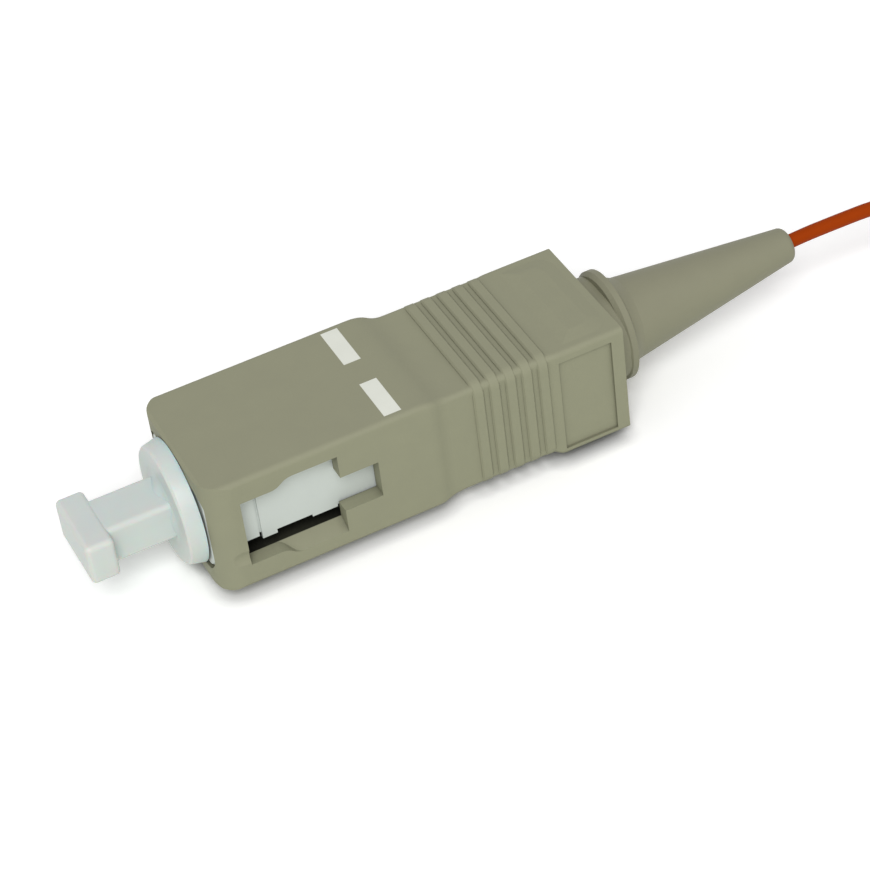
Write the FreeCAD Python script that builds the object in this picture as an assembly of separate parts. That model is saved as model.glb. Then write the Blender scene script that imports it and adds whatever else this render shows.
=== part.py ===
"""Push-pull fibre connector on a tight-buffered pigtail, with its dust cap on.

Frame: X runs along the ferrule from the plug's front face (X = 0) to the boot, Z is up and the
origin is on the ferrule's axis. The key is on the lower wide face, so the plug lies key down.
All sizes are in millimetres.
"""
import FreeCAD
import Part
import math
import os

V = FreeCAD.Vector
X_DIR = V(1, 0, 0)
Y_DIR = V(0, 1, 0)
Z_DIR = V(0, 0, 1)
ORIGIN = V(0, 0, 0)

# ---- outer housing, the grip sleeve --------------------------------------------------------
plug_width = 8.99              # across Y, in the adapter's mouth
plug_height = 7.39             # across Z
housing_length = 24.95
nose_length = 12.4             # plain stretch of the upper face that goes into the adapter
nose_side_extra = 0.6          # how much further the narrow sides run before they step in
nose_under_extra = 1.0         # and the underside
nose_corner_radius = 1.5       # lead-in on the upright front corners
nose_chamfer = 0.12            # lead-in on the front edges of the wide faces
long_edge_radius = 0.3
waist_width = plug_width - 0.53  # across Y, under the ribs
waist_shoulder = 1.2           # length of the step from nose to waist in plan
waist_top = 3.28               # height of the upper wide face behind the nose
waist_bottom = 3.56            # depth of the lower wide face under the ribs
waist_slope = 2.2              # length of the slope from nose to waist above
waist_under_slope = 1.5        # and below
tail_width = plug_width - 0.37
tail_bottom = 3.9
tail_blend = 0.9               # length of the step from waist to tail
cavity_width = plug_width - 1.79
cavity_height = 5.5
mouth_depth = 1.2              # stretch of the cavity at the front with rounded corners
mouth_corner = 1.0

panel_start = housing_length - 4.0  # sunk panel on each narrow side
panel_end = housing_length - 0.75
panel_depth = 0.13
panel_top = 2.65
panel_bottom = 3.5
pad_start = housing_length - 3.65   # raised pad on the rear of each wide face
pad_end = housing_length - 0.2
pad_width = plug_width - 1.1
pad_stand = 0.16
pad_slope = 0.8                # width of the pad's sloping border
pad_corner = 1.2

rib_count = 5
rib_pitch = 0.98
first_rib_x = panel_start - 0.93 - (rib_count - 1) * rib_pitch  # middle of the first rib
rib_length = 0.68
rib_stand_side = 0.12          # how far a rib stands out of the waist at the sides
rib_stand_top = 0.15
rib_stand_bottom = 0.16
rib_corner_radius = 0.7
rib_edge = 0.1

key_width = 3.0
key_height = 0.9
key_start = 0.6
key_length = 9.6
key_edge = 0.25

mark_x = 11.2                  # middle of the insertion marks
mark_length = 1.02
mark_inner = 0.95              # from the middle of the face to a mark's near end
mark_outer = 4.05
mark_depth = 0.05

# ---- windows in the narrow sides -----------------------------------------------------------
window_start = 1.85
window_end = 7.55
window_half = 2.2              # half height at the inner wall
window_slot_end = 9.8         # the narrow slot behind the window
window_slot_half = 1.2
ramp_start = 3.6               # cam ramps along both long edges of the window
ramp_full = 4.9
ramp_rise = 0.5
relief_depth = 0.12            # shallow relief that runs from the front to the window
relief_half = 0.45
relief_z = -1.6
relief_end = 3.6

# ---- inner housing, the plug frame ---------------------------------------------------------
frame_fit = 0.1                # sliding gap between plug frame and grip sleeve
frame_front = 0.12
frame_end = 22.2
frame_body_radius = 2.95       # of the front body, between the side pads
frame_rim_end = 1.0            # end of the rim that fills the sleeve's mouth
frame_rear_start = 10.3        # from here it fills the sleeve
sleeve_bore_radius = 2.5       # takes the adapter's sleeve holder
sleeve_bore_depth = 6.7
web_thickness = 0.9
web_hole_radius = 1.75
spring_bore_radius = 2.42
latch_pad_start = 1.3          # pads on the sides that the adapter's hooks hold
latch_groove_x = 2.88
latch_groove_length = 0.16
latch_groove_depth = 0.12
pad_top = 1.8                  # upper edge of the pads; their halves are the lower edges' depths
front_pad_half = 1.42
hook_pad_end = 3.9
hook_pad_half = 1.68
slim_pad_half = 1.43
rear_pad_start = 6.0
rear_pad_end = 7.5
rear_pad_half = 1.6
snap_window_start = 18.4       # the stop body's lugs snap in here
snap_window_length = 1.7
snap_window_half = 1.05
frame_edge = 0.25

# ---- ferrule group -------------------------------------------------------------------------
ferrule_radius = 1.25
ferrule_tip_x = -0.35
ferrule_length = 10.5
ferrule_bore_radius = 0.08
ferrule_chamfer = 0.3
flange_gap = 0.05              # between the plug frame's web and the flange
flange_radius = 2.25
flange_length = 1.8
flange_socket_end = 10.2
flange_notch_width = 0.8
flange_notch_depth = 0.42
notch_key_clearance = 0.12
barrel_radius = 1.55
barrel_end = 13.0
glass_radius = 0.0625
coating_radius = 0.125
coating_start = 10.35
coating_end = 15.0
barrel_bore_radius = 0.3

spring_wire = 0.45
spring_mean_radius = 1.95
spring_turns = 5
spring_seat_gap = 0.05

# ---- stop body and guide tube --------------------------------------------------------------
stop_front = 17.3
stop_fit = 0.07
stop_bore_gap = 0.02           # between the guide tube and the stop body
stop_flange_start = 22.25
stop_flange_length = 0.95
stop_flange_radius = 2.62
stop_neck_radius = 1.95
stop_neck_end = 25.2
stop_barrel_radius = 1.6
stop_barrel_end = 30.4
barb_count = 3
barb_pitch = 1.1
barb_depth = 0.16
snap_lug_clearance = 0.1
snap_lug_reach = 3.1
tube_outer_radius = 0.85
tube_inner_radius = 0.56
tube_start = 14.25
tube_end = 31.1

# ---- boot ----------------------------------------------------------------------------------
boot_front = 24.15
boot_neck_width = 6.3          # of the oval neck in the grip sleeve's mouth
boot_neck_height = 5.24
boot_neck_corner = 2.4
collar_start = 25.8
collar_end = 26.6
collar_radius = 3.25
collar_edge = 0.22
shoulder_end = 27.5
shoulder_radius = 2.38
tail_root = 0.5                # how far the tail's cone starts inside the shoulder
boot_tip = 38.0
boot_tip_radius = 1.06
boot_tip_rounding = 0.4
boot_lift = 3.0                # degrees that the tail leans up from its shoulder
boot_fit = 0.02
boot_socket_end = 31.3
boot_socket_tip_radius = 1.0
boot_bore_radius = 0.52
boot_mouth_radius = 0.8
boot_mouth_start = 36.6

# ---- dust cap ------------------------------------------------------------------------------
cap_gap = 0.03                 # between the cap's flange and the plug's front
cap_flange_radius = 3.62
cap_flange_front_radius = 3.42
cap_flange_front = -1.0
cap_neck_width = 2.9
cap_neck_height = 2.45
cap_flare_start = -2.0
cap_flare_radius = 2.35
cap_handle_start = -4.6
cap_handle_end = -6.25
cap_handle_width = 4.7
cap_handle_height = 2.6
cap_edge = 0.3
cap_sleeve_radius = 2.15
cap_sleeve_end = 5.9
cap_bore_gap = 0.05
cap_bore_end = -0.62

# ---- buffered fibre, lead and hank ---------------------------------------------------------
buffer_diameter = 0.85
buffer_start = 16.4
buffer_bend_x = 29.5           # from here it rises to the boot's mouth
floor_z = -(plug_height / 2 + key_height)
lead_route = [
    (36.5, 0.0, 0.472),
    (38.4, 0.05, 0.63),
    (41.2, 0.08, 0.6),
    (44.4, 0.06, 0.55),
    (47.5, -0.25, -0.25),
    (50.2, -1.2, -1.85),
    (52.9, -2.75, -3.2),
    (55.9, -4.1, -3.9),
    (59.0, -4.46, -3.975),
]
hank_run = 16.2                # straight stretch of a turn
hank_fold_x = 59.0             # middle of the front folds
hank_inner_radius = 2.7        # of the innermost fold, at the middle of the cord
hank_columns = 3
hank_layers = 6
hank_pitch = 0.88              # from one turn to the next, across and up
hank_edge = 0.4
tie_width = 1.8
tie_thickness = 0.2


def box(x0, x1, y0, y1, z0, z1):
    """Box between two opposite corners, each pair in either order."""
    corner = V(min(x0, x1), min(y0, y1), min(z0, z1))
    return Part.makeBox(abs(x1 - x0), abs(y1 - y0), abs(z1 - z0), corner)


def rod(radius, x0, x1):
    """Cylinder on the ferrule's axis."""
    return Part.makeCylinder(radius, x1 - x0, V(x0, 0, 0), X_DIR)


def turned(points):
    """Solid of revolution about X from (x, radius) corners, in order."""
    outline = Part.makePolygon([V(x, r, 0) for x, r in points + points[:1]])
    return Part.Face(outline).revolve(ORIGIN, X_DIR, 360)


def s_curve(start, end):
    """Two equal arcs from start to end, both ends level, as edges in the XY plane."""
    dx = end[0] - start[0]
    dy = end[1] - start[1]
    radius = (dx * dx + dy * dy) / (4 * abs(dy))
    side = math.copysign(1, dy)
    half_turn = math.asin(abs(dx) / 2 / radius) / 2
    across = radius * math.sin(half_turn)
    drop = side * radius * (1 - math.cos(half_turn))
    middle = V((start[0] + end[0]) / 2, (start[1] + end[1]) / 2, 0)
    a = V(start[0], start[1], 0)
    b = V(end[0], end[1], 0)
    return [
        Part.Arc(a, V(a.x + across, a.y + drop, 0), middle).toShape(),
        Part.Arc(middle, V(b.x - across, b.y - drop, 0), b).toShape(),
    ]


def line(start, end):
    """Straight edge in the XY plane."""
    return Part.LineSegment(V(start[0], start[1], 0), V(end[0], end[1], 0)).toShape()


def rounded_plate(x0, x1, half_width, bottom, top, radius):
    """Plate across X with rounded corners, half_width to each side in Y."""
    plate = box(x0, x1, -half_width, half_width, bottom, top)
    along = [e for e in plate.Edges if abs(e.BoundBox.XLength - (x1 - x0)) < 1e-6]
    return plate.makeFillet(radius, along)


def tangent_tube(points, diameter):
    """Tube along straight runs joined by tangent arcs, each as large as its two runs allow.

    Gives the tube, the radii of its arcs and the path's length.
    """
    corners = [V(*p) for p in points]
    edges = []
    radii = []
    begin = corners[0]
    for before, corner, after in zip(corners, corners[1:], corners[2:]):
        arrive = corner - before
        leave = after - corner
        half_turn = arrive.getAngle(leave) / 2
        cut_back = 0.45 * min(arrive.Length, leave.Length)
        radius = cut_back / math.tan(half_turn)
        radii.append(radius)
        u = V(arrive).normalize()
        w = V(leave).normalize()
        a = corner - u * cut_back
        b = corner + w * cut_back
        inward = (w - u).normalize()
        middle = corner + inward * (radius / math.cos(half_turn) - radius)
        edges.append(Part.LineSegment(begin, a).toShape())
        edges.append(Part.Arc(a, middle, b).toShape())
        begin = b
    edges.append(Part.LineSegment(begin, corners[-1]).toShape())
    path = Part.Wire(edges)
    first = (corners[1] - corners[0]).normalize()
    section = Part.Wire(Part.makeCircle(diameter / 2, corners[0], first))
    return path.makePipeShell([section], True, True), radii, path.Length


def housing_plan():
    """Outline of the sleeve from above: nose, waist and tail."""
    nose = plug_width / 2
    waist = waist_width / 2
    tail = tail_width / 2
    nose_x = nose_length + nose_side_extra
    waist_x = nose_x + waist_shoulder
    tail_x = panel_start - tail_blend
    half = [line((0, nose), (nose_x, nose))]
    half += s_curve((nose_x, nose), (waist_x, waist))
    half.append(line((waist_x, waist), (tail_x, waist)))
    half += s_curve((tail_x, waist), (panel_start, tail))
    half.append(line((panel_start, tail), (housing_length, tail)))
    other = [e.mirror(ORIGIN, Y_DIR) for e in half]
    ends = [
        line((0, nose), (0, -nose)),
        line((housing_length, tail), (housing_length, -tail)),
    ]
    return Part.Face(Part.Wire(Part.__sortEdges__(half + other + ends)))


def housing_side():
    """Outline of the sleeve from the side, drawn in XY with Y for height."""
    h = plug_height / 2
    waist_x = nose_length + waist_slope
    under_x = nose_length + nose_under_extra
    waist_under_x = under_x + waist_under_slope
    tail_x = panel_start - tail_blend
    edges = [line((0, h), (nose_length, h))]
    edges += s_curve((nose_length, h), (waist_x, waist_top))
    edges.append(line((waist_x, waist_top), (housing_length, waist_top)))
    edges.append(line((housing_length, waist_top), (housing_length, -tail_bottom)))
    edges.append(line((0, -h), (under_x, -h)))
    edges += s_curve((under_x, -h), (waist_under_x, -waist_bottom))
    edges.append(line((waist_under_x, -waist_bottom), (tail_x, -waist_bottom)))
    edges += s_curve((tail_x, -waist_bottom), (panel_start, -tail_bottom))
    edges.append(line((panel_start, -tail_bottom), (housing_length, -tail_bottom)))
    edges.append(line((0, -h), (0, h)))
    return Part.Face(Part.Wire(Part.__sortEdges__(edges)))


def nose_envelope():
    """Block with the nose's round upright corners and chamfered front edges."""
    w = plug_width / 2
    h = plug_height / 2
    block = box(0, housing_length, -w, w, -plug_height, plug_height)
    upright = [e for e in block.Edges if e.BoundBox.ZLength > h and e.BoundBox.XMax < 0.01]
    block = block.makeFillet(nose_corner_radius, upright)
    k = nose_chamfer
    wedge = Part.Face(Part.makePolygon([
        V(-1, -w - 1, h - k - 0.625), V(1.6 * k + 1, -w - 1, h + 0.625), V(-1, -w - 1, h + 0.625),
        V(-1, -w - 1, h - k - 0.625)])).extrude(V(0, plug_width + 2, 0))
    return block.cut([wedge, wedge.mirror(ORIGIN, Z_DIR)])


def housing_body():
    """Solid sleeve before its ribs and openings: the plan and side outlines crossed."""
    reach = plug_width
    plan = housing_plan()
    plan.translate(V(0, 0, -reach))
    side = housing_side()
    side.rotate(ORIGIN, X_DIR, 90)
    side.translate(V(0, reach, 0))
    body = plan.extrude(V(0, 0, 2 * reach)).common(side.extrude(V(0, -2 * reach, 0)))
    w = plug_width / 2
    h = plug_height / 2
    long_edges = []
    for e in body.Edges:
        b = e.BoundBox
        middle = b.Center
        if b.XMin < 0.01 and b.XLength > 1 and abs(middle.y) > w - 0.01 and abs(middle.z) > h - 0.01:
            long_edges.append(e)
    return body.makeFillet(long_edge_radius, long_edges).common(nose_envelope())


def grip_ribs():
    """Five rounded ribs that run right round the waist."""
    ribs = []
    for i in range(rib_count):
        middle = first_rib_x + i * rib_pitch
        rib = rounded_plate(
            middle - rib_length / 2, middle + rib_length / 2,
            waist_width / 2 + rib_stand_side,
            -waist_bottom - rib_stand_bottom, waist_top + rib_stand_top,
            rib_corner_radius)
        ends = [e for e in rib.Edges if e.BoundBox.XLength < 1e-6]
        ribs.append(rib.makeChamfer(rib_edge, ends))
    return ribs


def rounded_rectangle(x0, x1, half_width, radius, level):
    """Wire at a level: a rectangle with its two rear corners rounded."""
    w = half_width
    k = radius * (1 - math.sqrt(0.5))
    edges = [
        line((x0, -w), (x0, w)),
        line((x0, w), (x1 - radius, w)),
        Part.Arc(V(x1 - radius, w, 0), V(x1 - k, w - k, 0), V(x1, w - radius, 0)).toShape(),
        line((x1, w - radius), (x1, radius - w)),
        Part.Arc(V(x1, radius - w, 0), V(x1 - k, k - w, 0), V(x1 - radius, -w, 0)).toShape(),
        line((x1 - radius, -w), (x0, -w)),
    ]
    wire = Part.Wire(edges)
    wire.translate(V(0, 0, level))
    return wire


def rear_pad(side):
    """Raised pad on the rear of a wide face: a low plateau with a sloping border."""
    level = waist_top if side > 0 else tail_bottom
    sunk = 0.05
    slope = pad_slope * (1 + sunk / pad_stand)
    foot = rounded_rectangle(pad_start, pad_end, pad_width / 2, pad_corner, level - sunk)
    rim = rounded_rectangle(pad_start + slope, pad_end - slope, pad_width / 2 - slope,
                            pad_corner - slope / 2, level + pad_stand)
    pad = Part.makeLoft([foot, rim], True, True)
    if side < 0:
        pad = pad.mirror(ORIGIN, Z_DIR)
    return pad


def window_cut(side):
    """Opening in one narrow side: window, slot behind it and cam ramps on its long edges."""
    inner = cavity_width / 2 - 0.3
    outer = plug_width / 2 + 0.3
    wall_in = cavity_width / 2
    wall_out = plug_width / 2
    cut = box(window_start, window_end, inner, outer, -window_half, window_half)
    cut = cut.fuse(box(window_end - 0.1, window_slot_end, inner, outer,
                       -window_slot_half, window_slot_half))
    rise = ramp_rise * (outer - wall_in) / (wall_out - wall_in)
    low = window_half - 0.1
    edges = s_curve((ramp_start, window_half), (ramp_full, window_half + ramp_rise))
    edges.append(line((ramp_full, window_half + ramp_rise), (window_end, window_half + ramp_rise)))
    edges.append(line((window_end, window_half + ramp_rise), (window_end, low)))
    edges.append(line((window_end, low), (ramp_start, low)))
    edges.append(line((ramp_start, low), (ramp_start, window_half)))
    outline = Part.Face(Part.Wire(Part.__sortEdges__(edges)))
    outline.rotate(ORIGIN, X_DIR, 90)
    outline.translate(V(0, outer, 0))
    slab = outline.extrude(V(0, -(outer - inner), 0))
    wedge = Part.Face(Part.makePolygon([
        V(ramp_start, wall_in, low), V(ramp_start, outer, low),
        V(ramp_start, outer, window_half + rise), V(ramp_start, wall_in, window_half),
        V(ramp_start, wall_in, low)])).extrude(V(window_end - ramp_start, 0, 0))
    ramp = slab.common(wedge)
    cut = cut.fuse(ramp).fuse(ramp.mirror(ORIGIN, Z_DIR))
    relief_radius = (relief_half ** 2 + relief_depth ** 2) / (2 * relief_depth)
    relief_y = wall_out - relief_depth + relief_radius
    cut = cut.fuse(Part.makeCylinder(relief_radius, relief_end + 1,
                                     V(-1, relief_y, relief_z), X_DIR))
    if side < 0:
        cut = cut.mirror(ORIGIN, Y_DIR)
    return cut.removeSplitter()


def outer_housing():
    """Grip sleeve, one moulding."""
    body = housing_body()
    body = body.fuse(grip_ribs())
    body = body.fuse([rear_pad(1), rear_pad(-1)])
    base = plug_height / 2
    key = box(key_start, key_start + key_length, -key_width / 2, key_width / 2,
              -base - key_height, -base + 0.2)
    lower = [e for e in key.Edges if e.BoundBox.ZMax < -base - key_height + 0.01]
    body = body.fuse(key.makeChamfer(key_edge, lower))
    cuts = [rounded_plate(-1, mouth_depth + 0.1, cavity_width / 2,
                          -cavity_height / 2, cavity_height / 2, mouth_corner),
            box(mouth_depth, housing_length + 1, -cavity_width / 2, cavity_width / 2,
                -cavity_height / 2, cavity_height / 2)]
    cuts += [window_cut(1), window_cut(-1)]
    for side in (1, -1):
        face = side * tail_width / 2
        cuts.append(box(panel_start, panel_end, face - side * panel_depth, face + side,
                        -panel_bottom, panel_top))
        cuts.append(box(mark_x - mark_length / 2, mark_x + mark_length / 2,
                        side * mark_inner, side * mark_outer,
                        base - mark_depth, base + 1))
    return body.cut(cuts)


def side_pads(half_width):
    """Latch pads on one side of the plug frame, as boxes to full width."""
    inner = frame_body_radius * 0.6
    stretches = [
        (latch_pad_start, latch_groove_x, front_pad_half, 0),
        (latch_groove_x, latch_groove_x + latch_groove_length, front_pad_half - 0.15,
         latch_groove_depth),
        (latch_groove_x + latch_groove_length, hook_pad_end, hook_pad_half, 0),
        (hook_pad_end, rear_pad_start, slim_pad_half, 0),
        (rear_pad_start, rear_pad_end, rear_pad_half, 0),
        (rear_pad_end, frame_rear_start, slim_pad_half, 0),
    ]
    return [box(a, b, inner, half_width - sunk, -half, pad_top) for a, b, half, sunk in stretches]


def inner_housing():
    """Plug frame, one moulding: rim, bore for the adapter's sleeve, web, spring bore, pads."""
    half_width = cavity_width / 2 - frame_fit
    half_height = cavity_height / 2 - frame_fit
    front = turned([(frame_front, 0), (frame_front, frame_body_radius - frame_edge),
                    (frame_front + frame_edge, frame_body_radius),
                    (frame_rear_start + 0.1, frame_body_radius), (frame_rear_start + 0.1, 0)])
    front = front.common(box(0, frame_end, -half_width, half_width, -half_height, half_height))
    rim = rounded_plate(frame_front, frame_rim_end, half_width, -half_height, half_height,
                        mouth_corner - frame_fit)
    rim = rim.makeChamfer(0.12, [e for e in rim.Edges if e.BoundBox.XMax < frame_front + 0.01])
    rear = box(frame_rear_start, frame_end, -half_width, half_width, -half_height, half_height)
    pads = side_pads(half_width)
    pads += [p.mirror(ORIGIN, Y_DIR) for p in pads]
    body = front.fuse([rim, rear] + pads)
    web_start = sleeve_bore_depth
    web_end = web_start + web_thickness
    bores = [
        rod(sleeve_bore_radius, frame_front - 1, web_start),
        rod(web_hole_radius, web_start - 0.1, web_end + 0.1),
        rod(spring_bore_radius, web_end, frame_end + 1),
    ]
    for side in (1, -1):
        bores.append(box(snap_window_start, snap_window_start + snap_window_length,
                         0, side * plug_width, -snap_window_half, snap_window_half))
    body = body.cut(bores)
    key_reach = flange_radius - flange_notch_depth + notch_key_clearance
    key_half = flange_notch_width / 2 - notch_key_clearance
    key_end = web_end + flange_gap + flange_length
    keys = [box(web_end - 0.1, key_end, -key_half, key_half,
                s * key_reach, s * (spring_bore_radius + 0.1)) for s in (1, -1)]
    return body.fuse(keys).removeSplitter()


def ferrule():
    """Ceramic ferrule with a chamfered tip and a fine bore."""
    tip = ferrule_tip_x
    end = tip + ferrule_length
    c = ferrule_chamfer
    return turned([(tip, ferrule_bore_radius), (tip, ferrule_radius - c),
                   (tip + c * 1.6, ferrule_radius), (end, ferrule_radius),
                   (end, ferrule_bore_radius)])


def ferrule_flange():
    """Metal flange with four key notches and the barrel that the spring sits on."""
    start = sleeve_bore_depth + web_thickness + flange_gap
    end = start + flange_length
    body = turned([(start, ferrule_radius), (start, flange_radius), (end, flange_radius),
                   (end, barrel_radius), (barrel_end, barrel_radius),
                   (barrel_end, barrel_bore_radius), (flange_socket_end, barrel_bore_radius),
                   (flange_socket_end, ferrule_radius)])
    notch = box(start - 0.1, end + 0.1, -flange_notch_width / 2, flange_notch_width / 2,
                flange_radius - flange_notch_depth, flange_radius + 0.5)
    notches = []
    for i in range(4):
        turned_notch = notch.copy()
        turned_notch.rotate(ORIGIN, X_DIR, 90 * i)
        notches.append(turned_notch)
    return body.cut(notches)


def ferrule_spring():
    """Helical compression spring between the flange and the stop body."""
    flange_end = sleeve_bore_depth + web_thickness + flange_gap + flange_length
    start = flange_end + spring_wire / 2 + spring_seat_gap
    length = stop_front - spring_wire / 2 - spring_seat_gap - start
    pitch = length / spring_turns
    helix = Part.makeHelix(pitch, length, spring_mean_radius)
    along = V(0, 2 * math.pi * spring_mean_radius, pitch)
    section = Part.Wire(Part.makeCircle(spring_wire / 2, V(spring_mean_radius, 0, 0), along))
    coil = Part.Wire(helix.Edges).makePipeShell([section], True, True)
    coil.rotate(ORIGIN, Y_DIR, 90)
    coil.translate(V(start, 0, 0))
    return coil


def stop_body():
    """Rear body: spring seat, snap lugs, flange and the barbed barrel inside the boot."""
    seat = spring_bore_radius - stop_fit
    bore = tube_outer_radius + stop_bore_gap
    points = [(stop_front, bore), (stop_front, seat - 0.2), (stop_front + 0.3, seat),
              (stop_flange_start, seat), (stop_flange_start, stop_flange_radius),
              (stop_flange_start + stop_flange_length, stop_flange_radius),
              (stop_flange_start + stop_flange_length, stop_neck_radius),
              (stop_neck_end, stop_neck_radius), (stop_neck_end, stop_barrel_radius)]
    x = stop_barrel_end - barb_count * barb_pitch
    points.append((x, stop_barrel_radius - barb_depth))
    for _ in range(barb_count):
        points.append((x, stop_barrel_radius))
        x += barb_pitch
        points.append((x, stop_barrel_radius - barb_depth))
    points.append((stop_barrel_end, bore))
    body = turned(points)
    a = snap_window_start + snap_lug_clearance
    b = snap_window_start + snap_window_length - snap_lug_clearance
    half = snap_window_half - snap_lug_clearance
    profile = Part.Face(Part.makePolygon([
        V(a, 1.5, -half), V(a, seat, -half), V(b, snap_lug_reach, -half), V(b, 1.5, -half),
        V(a, 1.5, -half)]))
    lug = profile.extrude(V(0, 0, 2 * half))
    return body.fuse([lug, lug.mirror(ORIGIN, Y_DIR)])


def guide_tube():
    """PTFE tube through the stop body."""
    return rod(tube_outer_radius, tube_start, tube_end).cut(
        rod(tube_inner_radius, tube_start - 1, tube_end + 1))


def lean(shape):
    """Lean a tail piece up about the boot's shoulder."""
    shape.rotate(V(shoulder_end, 0, 0), Y_DIR, -boot_lift)
    return shape


def boot():
    """Bend-relief boot, one moulding: oval neck, collar, hollow shoulder, long tapered tail."""
    c = collar_edge
    corner = V(shoulder_end + 0.15, shoulder_radius - 0.08, 0)
    hollow = Part.Arc(V(collar_end, collar_radius - c - 0.25, 0),
                      V(collar_end + 0.4, shoulder_radius + 0.13, 0), corner).toShape()
    front = [(collar_start, 0), (collar_start, collar_radius - c), (collar_start + c, collar_radius),
             (collar_end - c, collar_radius), (collar_end, collar_radius - c - 0.25)]
    edges = [line(a, b) for a, b in zip(front, front[1:])]
    edges += [hollow, line((corner.x, corner.y), (corner.x, 0)), line((corner.x, 0), front[0])]
    head = Part.Face(Part.Wire(edges)).revolve(ORIGIN, X_DIR, 360)
    plate = rounded_plate(boot_front, collar_start + c, boot_neck_width / 2,
                          -boot_neck_height / 2, boot_neck_height / 2, boot_neck_corner)
    head = head.fuse(plate)
    r = boot_tip_rounding
    k = r * (1 - math.sqrt(0.5))
    root = shoulder_end - tail_root
    slope = (shoulder_radius - boot_tip_radius) / (boot_tip - r - shoulder_end)
    root_radius = shoulder_radius + tail_root * slope
    tail_edges = [
        line((root, 0), (root, root_radius)),
        line((root, root_radius), (boot_tip - r, boot_tip_radius)),
        Part.Arc(V(boot_tip - r, boot_tip_radius, 0), V(boot_tip - k, boot_tip_radius - k, 0),
                 V(boot_tip, boot_tip_radius - r, 0)).toShape(),
        line((boot_tip, boot_tip_radius - r), (boot_tip, 0)),
        line((boot_tip, 0), (root, 0)),
    ]
    tail = lean(Part.Face(Part.Wire(tail_edges)).revolve(ORIGIN, X_DIR, 360))
    body = head.fuse(tail)
    neck = stop_neck_radius + boot_fit
    barrel = stop_barrel_radius + boot_fit
    socket = turned([(boot_front - 1, 0), (boot_front - 1, neck), (stop_neck_end + 0.1, neck),
                     (stop_neck_end + 0.1, barrel), (boot_socket_end, barrel),
                     (boot_socket_end + 0.9, boot_socket_tip_radius),
                     (boot_socket_end + 0.9, 0)])
    bore = lean(turned([(boot_socket_end, 0), (boot_socket_end, boot_bore_radius),
                        (boot_mouth_start, boot_bore_radius), (boot_tip + 0.1, boot_mouth_radius),
                        (boot_tip + 0.1, 0)]))
    return body.cut([socket, bore])


def dust_cap():
    """Dust cap, one moulding: T handle, flat neck, flared flange and sleeve over the ferrule."""
    handle = box(cap_handle_end, cap_handle_start, -cap_handle_width / 2, cap_handle_width / 2,
                 -cap_handle_height / 2, cap_handle_height / 2)
    handle = handle.makeFillet(cap_edge, handle.Edges)
    neck = box(cap_handle_start - cap_edge, cap_flange_front, -cap_neck_width / 2,
               cap_neck_width / 2, -cap_neck_height / 2, cap_neck_height / 2)
    neck = neck.makeFillet(cap_edge, [e for e in neck.Edges if e.BoundBox.XLength > 1])
    rim = cap_flange_front_radius
    edge = 0.12
    flare_low = cap_neck_height / 2 - 0.25
    flare = Part.Arc(V(cap_flare_start, flare_low, 0),
                     V(cap_flange_front - 0.3, flare_low + 0.33, 0),
                     V(cap_flange_front, cap_flare_radius, 0)).toShape()
    profile = [(cap_flange_front, cap_flare_radius), (cap_flange_front, rim - edge),
               (cap_flange_front + edge, rim), (-cap_gap, cap_flange_radius),
               (-cap_gap, cap_sleeve_radius), (cap_sleeve_end - 0.3, cap_sleeve_radius),
               (cap_sleeve_end, cap_sleeve_radius - 0.2), (cap_sleeve_end, 0),
               (cap_flare_start, 0), (cap_flare_start, flare_low)]
    edges = [flare] + [line(a, b) for a, b in zip(profile, profile[1:])]
    turned_part = Part.Face(Part.Wire(edges)).revolve(ORIGIN, X_DIR, 360)
    bore = rod(ferrule_radius + cap_bore_gap, cap_bore_end, cap_sleeve_end + 1)
    return handle.fuse([neck, turned_part]).cut(bore)


def fibre(radius, start, end):
    """Straight round fibre on the axis."""
    return rod(radius, start, end)


def stadium(radius, x0, x1, y, z0, z1):
    """Upright block with round ends, centres at x0 and x1."""
    ends = [Part.makeCylinder(radius, z1 - z0, V(x, y, z0), Z_DIR) for x in (x0, x1)]
    return box(x0, x1, y - radius, y + radius, z0, z1).fuse(ends).removeSplitter()


def hank_size():
    """Outer and inner radius, underside and top of the hank."""
    half = buffer_diameter / 2
    outer = hank_inner_radius + (hank_columns - 1) * hank_pitch + half
    bottom = floor_z + tie_thickness
    top = bottom + (hank_layers - 1) * hank_pitch + buffer_diameter
    return outer, hank_inner_radius - half, bottom, top


def cord_hank():
    """Outer shape of the wound hank: a long ring that lies on its tie."""
    outer, inner, bottom, top = hank_size()
    x1 = hank_fold_x + hank_run
    ring = stadium(outer, hank_fold_x, x1, 0, bottom, top)
    rims = [e for e in ring.Edges if e.BoundBox.ZLength < 1e-6]
    ring = ring.makeChamfer(hank_edge, rims)
    return ring.cut(stadium(inner, hank_fold_x, x1, 0, bottom - 1, top + 1))


def hank_tie():
    """Band round the middle of the hank."""
    outer, inner, bottom, top = hank_size()
    middle = hank_fold_x + hank_run / 2
    t = tie_thickness
    band = rounded_plate(middle - tie_width / 2, middle + tie_width / 2, outer + t,
                         bottom - t, top + t, hank_edge + t)
    return band.cut(rounded_plate(middle - tie_width, middle + tie_width, outer,
                                  bottom, top, hank_edge))


def cord_lead():
    """The free stretch of the pigtail, from inside the boot's mouth to the hank."""
    tube, radii, length = tangent_tube(lead_route, buffer_diameter)
    area = math.pi * buffer_diameter ** 2 / 4
    print("lead: length %.2f, smallest radius %.2f, volume ratio %.4f"
          % (length, min(radii), tube.Volume / (area * length)))
    return tube


def buffered_fibre():
    """The stretch of buffer inside the stop body and boot, straight and then rising."""
    bend = V(buffer_bend_x, 0, 0)
    rise = V(*lead_route[0]) - bend
    straight = fibre(buffer_diameter / 2, buffer_start, buffer_bend_x)
    return straight.fuse(Part.makeCylinder(buffer_diameter / 2, rise.Length, bend, rise))


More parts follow.
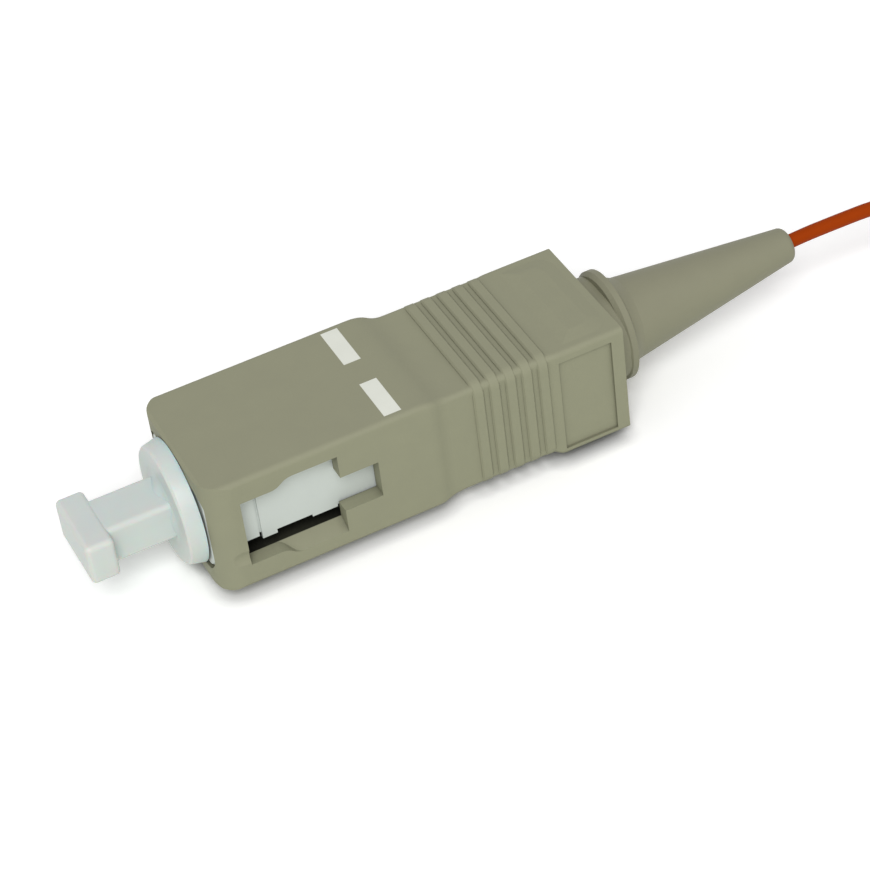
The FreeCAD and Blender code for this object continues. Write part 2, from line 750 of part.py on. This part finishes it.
def main():
    parts = {
        "outer_housing": outer_housing(),
        "inner_housing": inner_housing(),
        "ferrule": ferrule(),
        "ferrule_flange": ferrule_flange(),
        "ferrule_spring": ferrule_spring(),
        "stop_body": stop_body(),
        "guide_tube": guide_tube(),
        "glass_fibre": fibre(glass_radius, ferrule_tip_x, coating_start),
        "fibre_coating": fibre(coating_radius, coating_start, coating_end),
        "buffered_fibre": buffered_fibre(),
        "boot": boot(),
        "dust_cap": dust_cap(),
        "cord_lead": cord_lead(),
        "cord_hank": cord_hank(),
        "hank_tie": hank_tie(),
    }
    os.makedirs("parts", exist_ok=True)
    for name, shape in parts.items():
        solids = shape.Solids
        b = shape.BoundBox
        print("%-16s solids %d valid %s volume %.2f  x %.2f..%.2f y %.2f..%.2f z %.2f..%.2f" % (
            name, len(solids), shape.isValid(), shape.Volume,
            b.XMin, b.XMax, b.YMin, b.YMax, b.ZMin, b.ZMax))
        shape.exportStep("parts/%s.step" % name)


main()
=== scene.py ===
import math

import bpy
import numpy as np
from mathutils import Matrix, Vector


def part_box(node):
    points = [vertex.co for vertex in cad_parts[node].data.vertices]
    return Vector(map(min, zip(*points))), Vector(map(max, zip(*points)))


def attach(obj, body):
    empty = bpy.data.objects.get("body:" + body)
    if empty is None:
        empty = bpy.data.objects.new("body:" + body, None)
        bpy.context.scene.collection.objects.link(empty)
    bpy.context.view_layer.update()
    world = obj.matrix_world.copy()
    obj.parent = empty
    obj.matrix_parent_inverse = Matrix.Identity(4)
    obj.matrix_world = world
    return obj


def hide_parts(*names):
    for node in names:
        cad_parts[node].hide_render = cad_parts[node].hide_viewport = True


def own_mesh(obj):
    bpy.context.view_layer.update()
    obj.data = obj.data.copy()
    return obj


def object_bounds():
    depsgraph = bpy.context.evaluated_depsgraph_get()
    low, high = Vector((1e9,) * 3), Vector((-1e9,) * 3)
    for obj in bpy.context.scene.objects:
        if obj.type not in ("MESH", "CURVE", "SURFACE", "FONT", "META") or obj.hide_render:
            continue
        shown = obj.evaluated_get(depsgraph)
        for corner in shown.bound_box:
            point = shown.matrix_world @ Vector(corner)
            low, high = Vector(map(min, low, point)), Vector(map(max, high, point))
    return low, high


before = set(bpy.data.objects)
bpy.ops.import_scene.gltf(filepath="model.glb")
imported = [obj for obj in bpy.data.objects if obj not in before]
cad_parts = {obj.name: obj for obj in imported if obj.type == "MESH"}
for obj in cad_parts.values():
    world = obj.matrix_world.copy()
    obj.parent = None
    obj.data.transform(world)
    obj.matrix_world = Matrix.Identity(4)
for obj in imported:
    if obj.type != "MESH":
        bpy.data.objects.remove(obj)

cad_box = [list(c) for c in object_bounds()]
MM = 0.001
SCENE = bpy.context.scene


# ---------------------------------------------------------------- camera

CAMERA_PLACE = (-30.088, -115.246, 105.875)              # millimetres
CAMERA_RIGHT = (0.88892, -0.44601, -0.10435)
CAMERA_DOWN = (-0.36730, -0.55795, -0.74417)
CAMERA_AHEAD = (0.27368, 0.69984, -0.65979)
SENSOR_WIDTH = 36.0            # millimetres, as the focal length
FOCAL_LENGTH = 122.57


def make_camera():
    """Long lens from the front left and above, about 16 cm from the plug."""
    data = bpy.data.cameras.new("camera")
    data.sensor_width = SENSOR_WIDTH
    data.lens = FOCAL_LENGTH
    data.clip_start = 0.01
    data.clip_end = 20.0
    camera = bpy.data.objects.new("camera", data)
    SCENE.collection.objects.link(camera)
    rows = [(right, -down, -ahead, place * MM) for right, down, ahead, place
            in zip(CAMERA_RIGHT, CAMERA_DOWN, CAMERA_AHEAD, CAMERA_PLACE)]
    camera.matrix_world = Matrix(rows + [(0, 0, 0, 1)])
    SCENE.camera = camera


make_camera()


# ---------------------------------------------------------------- materials

def srgb(r, g, b):
    """Linear colour of three 0-255 display values."""
    out = []
    for c in (r, g, b):
        c = c / 255.0
        out.append(c / 12.92 if c <= 0.04045 else ((c + 0.055) / 1.055) ** 2.4)
    return (*out, 1.0)


def calculate(nodes, links, operation, *values):
    """Output of a Math node whose inputs are sockets or plain numbers."""
    node = nodes.new("ShaderNodeMath")
    node.operation = operation
    for socket, value in zip(node.inputs, values):
        if isinstance(value, (int, float)):
            socket.default_value = value
        else:
            links.new(value, socket)
    return node.outputs[0]


def noise(nodes, links, place, scale, detail):
    """Height of a cloudy pattern, 0 to 1, at the coordinates in place."""
    cloud = nodes.new("ShaderNodeTexNoise")
    cloud.inputs["Scale"].default_value = scale
    cloud.inputs["Detail"].default_value = detail
    links.new(place, cloud.inputs["Vector"])
    return cloud.outputs["Fac"]


def map_range(nodes, links, value, low, high, to_low=0.0, to_high=1.0):
    """Map Range node that takes value from low..high to to_low..to_high."""
    level = nodes.new("ShaderNodeMapRange")
    limits = {"From Min": low, "From Max": high, "To Min": to_low, "To Max": to_high}
    for name, limit in limits.items():
        level.inputs[name].default_value = limit
    links.new(value, level.inputs["Value"])
    return level


def spread(nodes, links, value, low, high):
    """Stretch the middle of a cloudy pattern, 0.3 to 0.7, over low to high."""
    return map_range(nodes, links, value, 0.3, 0.7, low, high).outputs["Result"]


def scaled_colour(nodes, links, colour, factor):
    """A colour, which is a socket or three plain numbers, times the socket factor."""
    node = nodes.new("ShaderNodeVectorMath")
    node.operation = "SCALE"
    if isinstance(colour, tuple):
        node.inputs[0].default_value = colour
    else:
        links.new(colour, node.inputs[0])
    links.new(factor, node.inputs["Scale"])
    return node.outputs["Vector"]


OPEN_SAMPLES = 12              # rays that look for near walls


def open_share(nodes, links, reach, power):
    """Open share of the surroundings within reach, in millimetres, raised to a power."""
    free = nodes.new("ShaderNodeAmbientOcclusion")
    free.samples = OPEN_SAMPLES
    free.inputs["Distance"].default_value = reach * MM
    return calculate(nodes, links, "POWER", free.outputs["AO"], power)


# painted shade in the closed-in space round the ferrule, darker near its walls
INSIDE_FRONT = 1.0 * MM        # where the painted shade of the closed-in space begins, behind the plug's front
INSIDE_SHADE_REACH = 2.5             # how near a wall paints shade into it, in millimetres
INSIDE_SHADE_POWER = 1.5


def painted_inside_shade(nodes, links, place, half_width, half_height):
    """Painted shade in the closed-in space round the ferrule: a brightness that is the open share
    of the surroundings, darker near walls. It is 1 everywhere else."""
    axes = nodes.new("ShaderNodeSeparateXYZ")
    links.new(place, axes.inputs["Vector"])
    inside = calculate(nodes, links, "GREATER_THAN", axes.outputs["X"], INSIDE_FRONT)
    for axis, half in (("Y", half_width), ("Z", half_height)):
        size = calculate(nodes, links, "ABSOLUTE", axes.outputs[axis])
        within = calculate(nodes, links, "LESS_THAN", size, half * MM)
        inside = calculate(nodes, links, "MULTIPLY", inside, within)
    free = open_share(nodes, links, INSIDE_SHADE_REACH, INSIDE_SHADE_POWER)
    lost = calculate(nodes, links, "SUBTRACT", 1.0, free)
    lost = calculate(nodes, links, "MULTIPLY", lost, inside)
    return calculate(nodes, links, "SUBTRACT", 1.0, lost)


GROOVE_SHADE_POWER = 0.5             # how strongly the nearness of walls paints shade into grooves
GLOSS_DRIFT = 3                # the roughness drifts this many times as far as the brightness
MOTTLE_DETAIL = 3.0
GRAIN_DETAIL = 2.0


def material(name, colour, roughness=0.5, specular=0.5, bump=0.003, bump_scale=4000.0, mottle=0.02,
             mottle_scale=700.0, stretch=(1.0, 1.0, 1.0), painted_hollow_shade=None, painted_groove_shade=0.0, **inputs):
    """Principled material of a moulded, drawn or turned surface.

    mottle is how far the colour's brightness drifts up and down across the piece, and bump is the
    depth of a fine grain in millimetres. stretch packs both patterns closer along an axis, as on a
    turned piece. The hollow is the half width and half height of the closed-in space that gets
    painted shade near its walls, and the groove is the width of grooves and creases that get
    painted shade, in millimetres.
    """
    mat = bpy.data.materials.new(name)
    mat.use_nodes = True
    nodes = mat.node_tree.nodes
    links = mat.node_tree.links
    shader = nodes["Principled BSDF"]
    shader.inputs["Specular IOR Level"].default_value = specular
    for key, value in inputs.items():
        shader.inputs[key.replace("_", " ")].default_value = value
    place = nodes.new("ShaderNodeTexCoord").outputs["Object"]
    packed = nodes.new("ShaderNodeVectorMath")
    packed.operation = "MULTIPLY"
    packed.inputs[1].default_value = stretch
    links.new(place, packed.inputs[0])
    packed = packed.outputs["Vector"]

    drift = noise(nodes, links, packed, mottle_scale, MOTTLE_DETAIL)
    light = spread(nodes, links, drift, 1 - mottle, 1 + mottle)
    # painted shade in the closed-in space inside the housing, darker near its walls
    if painted_hollow_shade:
        inside = painted_inside_shade(nodes, links, place, *painted_hollow_shade)
        light = calculate(nodes, links, "MULTIPLY", light, inside)
    # painted shade in grooves and creases, darker where walls are near
    if painted_groove_shade:
        free = open_share(nodes, links, painted_groove_shade, GROOVE_SHADE_POWER)
        light = calculate(nodes, links, "MULTIPLY", light, free)
    links.new(scaled_colour(nodes, links, colour[:3], light), shader.inputs["Base Color"])

    gloss = GLOSS_DRIFT * mottle
    rough = spread(nodes, links, drift, roughness * (1 - gloss), roughness * (1 + gloss))
    links.new(rough, shader.inputs["Roughness"])
    lift = nodes.new("ShaderNodeBump")
    lift.inputs["Distance"].default_value = bump * MM
    grain = noise(nodes, links, packed, bump_scale, GRAIN_DETAIL)
    links.new(grain, lift.inputs["Height"])
    links.new(lift.outputs["Normal"], shader.inputs["Normal"])
    return mat


TURNED = (12.0, 1.0, 1.0)      # fine rings round the axis
# the beige plastic gets painted shade inside the housing and in its grooves
BEIGE = material("beige_plastic", srgb(140, 140, 117), roughness=0.62, specular=0.3, bump=0.006,
                 bump_scale=5200.0, painted_hollow_shade=(3.62, 2.77), painted_groove_shade=0.5)
BOOT = material("boot_rubber", srgb(132, 131, 110), roughness=0.55, specular=0.3, bump=0.006,
                bump_scale=4200.0)
# the white plastic gets painted shade in the closed-in space round the ferrule
WHITE = material("white_plastic", srgb(196, 202, 198), roughness=0.4, specular=0.4,
                 mottle=0.012, painted_hollow_shade=(3.3, 9.0))
CAP = material("cap_plastic", srgb(199, 207, 204), roughness=0.42, specular=0.4, mottle=0.015,
               mottle_scale=350.0, Subsurface_Weight=0.5, Subsurface_Scale=0.0015)
PRINT = material("mark_print", srgb(222, 224, 214), roughness=0.6, specular=0.2, bump=0.004,
                 bump_scale=6000.0)
CERAMIC = material("ceramic", srgb(238, 238, 232), roughness=0.12, specular=0.6, bump=0.0004,
                   mottle=0.008)
NICKEL = material("nickel", (0.62, 0.60, 0.56, 1.0), roughness=0.25, bump=0.002, mottle=0.04,
                  stretch=TURNED, Metallic=1.0)
STEEL = material("spring_steel", (0.55, 0.55, 0.55, 1.0), roughness=0.35, mottle=0.05,
                 Metallic=1.0)
CLEAR = material("clear_tube", srgb(232, 236, 236), roughness=0.35, specular=0.4, bump=0.002,
                 stretch=(0.2, 1.0, 1.0), Subsurface_Weight=0.5, Subsurface_Scale=0.0006)
GLASS = material("fibre_glass", srgb(240, 246, 246), roughness=0.05, bump=0.0, mottle=0.005)
ORANGE = material("orange_buffer", srgb(153, 56, 2), roughness=0.55, specular=0.06, bump=0.004,
                  bump_scale=3000.0, mottle=0.04)
TIE = material("black_tie", srgb(34, 34, 36), roughness=0.6, specular=0.3, bump=0.03,
               bump_scale=900.0, mottle=0.08, stretch=(4.0, 1.0, 1.0))

NODE_LOOKS = {
    "outer_housing": BEIGE, "inner_housing": WHITE, "ferrule": CERAMIC,
    "ferrule_flange": NICKEL, "ferrule_spring": STEEL, "stop_body": NICKEL,
    "guide_tube": CLEAR, "glass_fibre": GLASS, "fibre_coating": CLEAR,
    "buffered_fibre": ORANGE, "boot": BOOT, "dust_cap": CAP, "hank_tie": TIE,
}
for node, look in NODE_LOOKS.items():
    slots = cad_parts[node].data.materials
    slots.clear()
    slots.append(look)


# ---------------------------------------------------------------- pigtail

BUFFER = 0.85                  # diameter of the buffered fibre
LEAD = [                       # control points from the boot to the hank, in millimetres
    (36.5, 0.0, 0.472), (38.4, 0.05, 0.63), (41.2, 0.08, 0.6), (44.4, 0.06, 0.55),
    (47.5, -0.25, -0.25), (50.2, -1.2, -1.85), (52.9, -2.75, -3.2), (55.9, -4.1, -3.9),
    (59.0, -4.46, -3.975),
]
FOLD_FRONT = 59.0              # middle of the hank's front folds
RUN = 16.2                     # from there to the middle of the rear folds
COLUMNS = 3
LAYERS = 6
PITCH = 0.88                   # from a turn to the next one
INNER_RADIUS = 2.7             # of the folds of the innermost turns
HALF_STEP = math.radians(22.5)          # half the angle between an octagon's corners


def fold(middle, r, z, first):
    """Four corners of the octagon round a half circle of radius r about x = middle, one after the
    other, the first of them at the angle first."""
    corner = r / math.cos(HALF_STEP)
    angles = [first + 2 * HALF_STEP * i for i in range(4)]
    return [(middle + corner * math.cos(a), corner * math.sin(a), z) for a in angles]


def hank_points():
    """Control points of the hank's turns, wound in and out again layer by layer.

    A fold is a half circle, and its control points are corners of the octagon round that circle.
    The run's own points lie as far inside the fold's middle as the first corner lies outside it,
    so that the line is straight between folds.
    """
    order = []
    for layer in range(LAYERS):
        columns = range(COLUMNS - 1, -1, -1) if layer % 2 == 0 else range(COLUMNS)
        order += [(INNER_RADIUS + PITCH * c, LEAD[-1][2] + PITCH * layer) for c in columns]
    reach = math.tan(HALF_STEP)
    back = FOLD_FRONT + RUN
    points = []
    for i, (r, z) in enumerate(order):
        r_next, z_next = order[min(i + 1, len(order) - 1)]
        if i > 0:
            points.append((FOLD_FRONT + reach * r, -r, z))
        points.append((back - reach * r, -r, z))
        points += fold(back, r, z, -3 * HALF_STEP)
        points.append((back - reach * r, r, z))
        points.append((FOLD_FRONT + reach * r_next, r_next, z_next))
        if i < len(order) - 1:
            points += fold(FOLD_FRONT, r_next, z_next, 5 * HALF_STEP)
    return points


def make_cord():
    """The whole free pigtail as one smooth curve: the lead and then the hank's turns."""
    points = LEAD + hank_points()
    curve = bpy.data.curves.new("pigtail", "CURVE")
    curve.dimensions = "3D"
    spline = curve.splines.new("NURBS")
    spline.points.add(len(points) - 1)
    for point, place in zip(spline.points, points):
        point.co = (*[c * MM for c in place], 1.0)
    spline.order_u = 3
    spline.use_endpoint_u = True
    curve.resolution_u = 8
    curve.bevel_depth = BUFFER / 2 * MM
    curve.bevel_resolution = 4
    curve.use_fill_caps = True
    curve.materials.append(ORANGE)
    cord = bpy.data.objects.new("pigtail", curve)
    SCENE.collection.objects.link(cord)
    return cord


cord = make_cord()
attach(cord, "plug_frame")
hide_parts("cord_lead", "cord_hank")


# ---------------------------------------------------------------- spring

SPRING_WIRE = 0.45 * MM        # diameter
SPRING_TURNS = 5
STEPS_PER_TURN = 40
WIRE_SIDES = 12
spring_low, spring_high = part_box("ferrule_spring")


def coil_spring():
    """Compression spring behind the flange: a round wire carried along a helix.

    At angle a the middle of the wire is (x, R sin a, -R cos a), where x runs evenly from the front
    end to the rear one. The surface is that point plus the wire's radius times (cos b outward +
    sin b across), where outward points away from the axis and across is square to outward and to
    the helix.
    """
    front = spring_low.x + SPRING_WIRE / 2
    rear = spring_high.x - SPRING_WIRE / 2
    sweep = 2 * math.pi * SPRING_TURNS
    a = np.linspace(0.0, sweep, STEPS_PER_TURN * SPRING_TURNS + 1)[:, None]
    b = np.linspace(0.0, 2 * math.pi, WIRE_SIDES, endpoint=False)[None, :]
    rise = (rear - front) / sweep
    r = spring_high.z - SPRING_WIRE / 2
    middle = np.stack([front + rise * a, r * np.sin(a), -r * np.cos(a)], axis=-1)
    outward = np.stack([0 * a, np.sin(a), -np.cos(a)], axis=-1)
    along = np.stack([rise + 0 * a, r * np.cos(a), r * np.sin(a)], axis=-1)
    along /= np.linalg.norm(along, axis=-1, keepdims=True)
    across = np.cross(along, outward)
    ring = np.cos(b)[..., None] * outward + np.sin(b)[..., None] * across
    points = middle + SPRING_WIRE / 2 * ring
    steps, around = points.shape[:2]
    index = np.arange(steps * around).reshape(steps, around)
    turned = np.roll(index, -1, axis=1)
    walls = np.stack([index[:-1], turned[:-1], turned[1:], index[1:]], axis=-1).reshape(-1, 4)
    mesh = bpy.data.meshes.new("coil_spring")
    ends = [index[0, ::-1].tolist(), index[-1].tolist()]
    mesh.from_pydata(points.reshape(-1, 3).tolist(), [], walls.tolist() + ends)
    mesh.shade_smooth()
    mesh.materials.append(STEEL)
    spring = bpy.data.objects.new("coil_spring", mesh)
    SCENE.collection.objects.link(spring)
    return spring


spring = coil_spring()
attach(spring, "plug_frame")
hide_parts("ferrule_spring")
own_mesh(spring)


# ---------------------------------------------------------------- printed marks

MARK_X = (10.69 * MM, 11.71 * MM)       # ends of a mark along the plug
MARK_Y = (0.95 * MM, 4.05 * MM)         # and across it, to either side of the middle
PRINT_DEPTH = (0.05 * MM, 0.01 * MM)    # bottom and top of the print, below the housing's top face
TOP_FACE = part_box("outer_housing")[1].z


def printed_mark(name, side):
    """Flat block of print in one of the two recesses. Corner (i, j, k) of its 2 x 2 x 2 grid is
    (x_i, side * y_j, top face - depth_k)."""
    grid = np.meshgrid(MARK_X, sorted(side * y for y in MARK_Y),
                       [TOP_FACE - depth for depth in PRINT_DEPTH], indexing="ij")
    corners = np.stack(grid, axis=-1).reshape(-1, 3)
    faces = [(0, 1, 3, 2), (4, 6, 7, 5), (0, 4, 5, 1), (2, 3, 7, 6), (0, 2, 6, 4), (1, 5, 7, 3)]
    mesh = bpy.data.meshes.new(name)
    mesh.from_pydata(corners.tolist(), [], faces)
    mesh.materials.append(PRINT)
    mark = bpy.data.objects.new(name, mesh)
    SCENE.collection.objects.link(mark)
    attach(mark, "grip")


printed_mark("mark_far", 1)
printed_mark("mark_near", -1)


# ---------------------------------------------------------------- floor and light

FLOOR_Z = cad_box[0][2] - 0.005 * MM
FLOOR_HALF = 4.0               # half the floor's side, in metres
FLOOR_THROWS = (0.85, 0.88, 0.81, 1.0)  # colour for the light it throws back on the part
FLOOR_SEEN = (1.17, 1.17, 1.17, 1.0)    # and where it is seen directly
CONTACT_SHADOW_REACH = 1.1            # how near the part paints a contact shadow on the floor, in millimetres
CONTACT_SHADOW_POWER = 1.2
CLEAR_FROM, CLEAR_TO = 0.2, 0.35        # where the floor clears, in metres from the part's front
WHITE_LIGHT = (1.0, 1.0, 1.0, 1.0)
WORLD_STRENGTH = 0.5


def seen_directly(nodes, links):
    """1 on rays that come from the camera, a gloss or a clear piece, 0 on all others."""
    path = nodes.new("ShaderNodeLightPath").outputs
    seen = calculate(nodes, links, "MAXIMUM", path["Is Camera Ray"], path["Is Glossy Ray"])
    return calculate(nodes, links, "MAXIMUM", seen, path["Is Transmission Ray"])


def mixed_shader(nodes, links, factor, first, second):
    """Mix Shader node from the outputs first, at factor 0, and second, at factor 1."""
    mix = nodes.new("ShaderNodeMixShader")
    links.new(factor, mix.inputs["Fac"])
    links.new(first, mix.inputs[1])
    links.new(second, mix.inputs[2])
    return mix.outputs["Shader"]


def floor_look():
    """Matt floor. Seen directly it is a third lighter than what it throws back on the part, so it
    is pure white where nothing shades it. Its colour is scaled by the open share of its nearest
    surroundings, a painted contact shadow where the part touches or nearly touches it. Seen
    directly it also clears far from the part, where the lamp gets weaker."""
    mat = bpy.data.materials.new("floor")
    mat.use_nodes = True
    nodes = mat.node_tree.nodes
    links = mat.node_tree.links
    nodes.clear()
    seen = seen_directly(nodes, links)
    colour = nodes.new("ShaderNodeMix")
    colour.data_type = "RGBA"
    colour.inputs["A"].default_value = FLOOR_THROWS
    colour.inputs["B"].default_value = FLOOR_SEEN
    links.new(seen, colour.inputs["Factor"])
    # painted contact shadow: the floor's colour darkens where the part is near
    painted_contact_shadow = open_share(nodes, links, CONTACT_SHADOW_REACH, CONTACT_SHADOW_POWER)
    matt = nodes.new("ShaderNodeBsdfDiffuse")
    links.new(scaled_colour(nodes, links, colour.outputs["Result"], painted_contact_shadow), matt.inputs["Color"])

    away = nodes.new("ShaderNodeVectorMath")
    away.operation = "LENGTH"
    links.new(nodes.new("ShaderNodeNewGeometry").outputs["Position"], away.inputs[0])
    fade = map_range(nodes, links, away.outputs["Value"], CLEAR_FROM, CLEAR_TO)
    fade.interpolation_type = "SMOOTHSTEP"
    clear = calculate(nodes, links, "MULTIPLY", fade.outputs["Result"], seen)
    nothing = nodes.new("ShaderNodeBsdfTransparent")
    shader = mixed_shader(nodes, links, clear, matt.outputs["BSDF"], nothing.outputs["BSDF"])
    out = nodes.new("ShaderNodeOutputMaterial")
    links.new(shader, out.inputs["Surface"])
    return mat


def make_floor():
    """Wide white floor."""
    mesh = bpy.data.meshes.new("floor")
    signs = ((-1, -1), (1, -1), (1, 1), (-1, 1))
    corners = [(x * FLOOR_HALF, y * FLOOR_HALF, FLOOR_Z) for x, y in signs]
    mesh.from_pydata(corners, [], [(0, 1, 2, 3)])
    mesh.materials.append(floor_look())
    floor = bpy.data.objects.new("floor", mesh)
    SCENE.collection.objects.link(floor)


def area_light(name, place, target, size, watts):
    """Square soft light at place, in metres, aimed at target."""
    data = bpy.data.lights.new(name, "AREA")
    data.shape = "SQUARE"
    data.size = size
    data.energy = watts
    light = bpy.data.objects.new(name, data)
    light.location = place
    aim = Vector(target) - Vector(place)
    light.rotation_euler = aim.to_track_quat("-Z", "Y").to_euler()
    SCENE.collection.objects.link(light)


def make_world():
    """Even white surroundings: they light the part, and the camera sees them as plain white."""
    world = bpy.data.worlds.new("studio")
    world.use_nodes = True
    SCENE.world = world
    nodes = world.node_tree.nodes
    links = world.node_tree.links
    glow = nodes["Background"]
    glow.inputs["Color"].default_value = WHITE_LIGHT
    glow.inputs["Strength"].default_value = WORLD_STRENGTH
    seen = nodes.new("ShaderNodeBackground")
    seen.inputs["Color"].default_value = WHITE_LIGHT
    seen.inputs["Strength"].default_value = 1.0
    shader = mixed_shader(nodes, links, seen_directly(nodes, links), glow.outputs["Background"],
                          seen.outputs["Background"])
    links.new(shader, nodes["World Output"].inputs["Surface"])


make_floor()
make_world()
area_light("front_left", place=(-0.57, -1.32, 1.56), target=(0.015, 0, 0), size=1.05, watts=30.6)

SCENE.view_settings.view_transform = "Standard"
